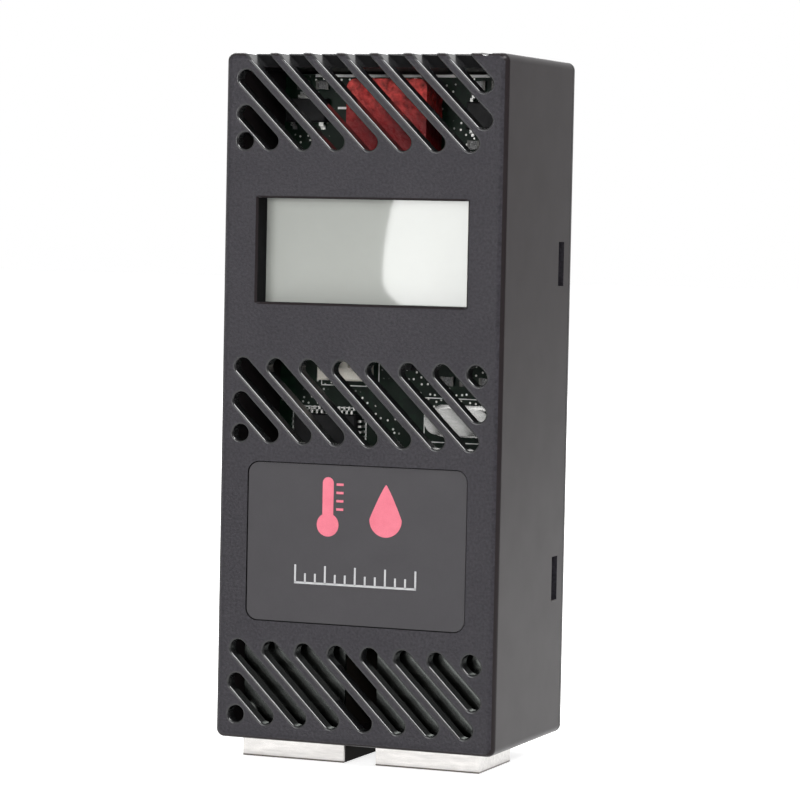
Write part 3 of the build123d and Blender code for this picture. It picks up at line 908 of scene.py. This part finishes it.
# dark screen round the right front, seen in the gloss alone: it draws the dark line down the front edge
screenLook = {
    "from": 12.0,
    "to": 148.0,
    "radius": 0.3,
    "low": -0.05,
    "high": 0.25,
    "steps": 24,
    "tones": ((0.004, 0.004, 0.004), (0.008, 0.008, 0.008)),
}
screenMesh = bmesh.new()
start = math.radians(screenLook["from"])
foot = Vector((math.sin(start), -math.cos(start), 0)) * screenLook["radius"]
ends = [screenMesh.verts.new(foot + Vector((0, 0, screenLook[key]))) for key in ("low", "high")]
edge = screenMesh.edges.new(ends)
bmesh.ops.spin(
    screenMesh, geom=[*ends, edge], cent=(0, 0, 0), axis=(0, 0, 1), dvec=(0, 0, 0),
    angle=math.radians(screenLook["to"] - screenLook["from"]), steps=screenLook["steps"], use_merge=False,
)
screen = addStageObject("screen", screenMesh, finish("screenCloth", {
    "tones": screenLook["tones"],
    "patchSize": 20.0,
    "rough": (0.9, 1.0),
    "grainSize": 1.0,
    "grainDepth": 0.02,
}))
hideFromAllButGloss(screen)

# lights: a tall box front left, which the display mirrors, a broad one high on the right, a soft one near
# the eye, which reaches through the vents, one behind, and one more high on the right that only draws the
# lines on the rims
lightLook = {
    "frontBox": {
        "angle": -13.25,
        "reach": 1.0,
        "width": 0.30,
        "height": 0.46,
        "low": -0.033,  # its lower edge from the display's middle
        "radiance": 10.6,
    },
    "topBox": {"place": (0.57, -0.16, 0.75), "size": 0.5, "radiance": 13.0},
    "eyeBox": {"place": (0.33, -0.86, 0.12), "size": 0.12, "radiance": 54.0},
    "backBox": {"place": (-0.45, 0.75, 0.55), "size": 0.6, "radiance": 5.0},
    "rimBox": {"place": (0.50, -0.30, 0.80), "size": 0.4, "radiance": 27.0},
}


def addAreaLight(name, place, target, width, height, radiance):
    data = bpy.data.lights.new(name, "AREA")
    data.shape = "RECTANGLE"
    data.size = width
    data.size_y = height
    data.energy = math.pi * width * height * radiance
    lamp = bpy.data.objects.new(name, data)
    lamp.location = place
    lamp.rotation_euler = (Vector(target) - Vector(place)).to_track_quat("-Z", "Y").to_euler()
    bpy.context.scene.collection.objects.link(lamp)
    return lamp


displayLow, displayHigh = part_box("lcd_polarizer")
displayCentre = (displayLow + displayHigh) / 2
box = lightLook["frontBox"]
turn = math.radians(box["angle"])
boxMiddle = displayCentre + Vector((math.sin(turn), -math.cos(turn), 0)) * box["reach"]
boxMiddle.z += box["low"] + box["height"] / 2
level = Vector((displayCentre.x, displayCentre.y, boxMiddle.z))
frontBox = addAreaLight("frontBox", boxMiddle, level, box["width"], box["height"], box["radiance"])

# flag just before the tall box, as bright as the surround and seen in the gloss alone: it rounds the box's
# edge in the display's mirror image
flagLook = {
    "ahead": 0.0005,
    "edgeRadius": 0.136,
    "cornerWidth": 0.017,
    "cornerHeight": 0.014,
    "reach": 0.07,
    "margin": 0.004,
    "steps": 16,
    "tones": ((0.004, 0.004, 0.004), (0.008, 0.008, 0.008)),
}


# points up the rounded edge, from the box's lower edge: across and up from its lower corner
def flagEdge(look):
    width, height = look["cornerWidth"], look["cornerHeight"]
    for step in range(look["steps"] + 1):
        angle = math.pi / 2 * (1 - step / look["steps"])
        yield width * (1 - math.cos(angle)), height * (1 - math.sin(angle))
    for step in range(1, look["steps"] + 1):
        rise = look["reach"] * step / look["steps"]
        yield look["edgeRadius"] - math.sqrt(look["edgeRadius"] ** 2 - rise ** 2), height + rise


flagMesh = bmesh.new()
flagPoints = list(flagEdge(flagLook))
margin = flagLook["margin"]
edgeFoot, edgeHead = flagPoints[0], flagPoints[-1]
flagPoints += [(-margin, edgeHead[1]), (-margin, -margin), (edgeFoot[0], -margin)]
boxCorner = Vector((-box["width"] / 2, -box["height"] / 2, -flagLook["ahead"]))
flagVerts = [flagMesh.verts.new(boxCorner + Vector((*point, 0))) for point in flagPoints]
flagMesh.faces.new(flagVerts)
flagMesh.normal_update()
bmesh.ops.triangulate(flagMesh, faces=flagMesh.faces)
bmesh.ops.transform(flagMesh, matrix=frontBox.matrix_basis, verts=flagMesh.verts)
flagCloth = finish("flagCloth", {
    "tones": flagLook["tones"],
    "patchSize": 20.0,
    "rough": (0.8, 0.9),
    "grainSize": 1.0,
    "grainDepth": 0.02,
})
flagShader = openFinish(flagCloth)[1]
flagShader.inputs["Emission Color"].default_value = white
flagShader.inputs["Emission Strength"].default_value = stageLook["surround"]
hideFromAllButGloss(addStageObject("flag", flagMesh, flagCloth))

for name in ("topBox", "eyeBox", "backBox", "rimBox"):
    box = lightLook[name]
    lamp = addAreaLight(name, box["place"], (0, 0, 0), box["size"], box["size"], box["radiance"])
    lamp.visible_glossy = name != "eyeBox"
    lamp.visible_diffuse = name != "rimBox"
print("stage and lights set")

# camera at the photograph's angle
cameraLook = {
    "place": (0.18916, -0.49199, 0.02562),
    "turn": (87.1004, -1.1383, 21.6289),
    "lens": 156.592,
    "sensor": 36.0,
    "nearest": 0.01,
}
cameraData = bpy.data.cameras.new("camera")
cameraData.lens = cameraLook["lens"]
cameraData.sensor_width = cameraLook["sensor"]
cameraData.clip_start = cameraLook["nearest"]
camera = bpy.data.objects.new("camera", cameraData)
camera.location = cameraLook["place"]
camera.rotation_euler = [math.radians(angle) for angle in cameraLook["turn"]]
bpy.context.scene.collection.objects.link(camera)
bpy.context.scene.camera = camera
bpy.context.scene.view_settings.view_transform = "Standard"

print("camera set")
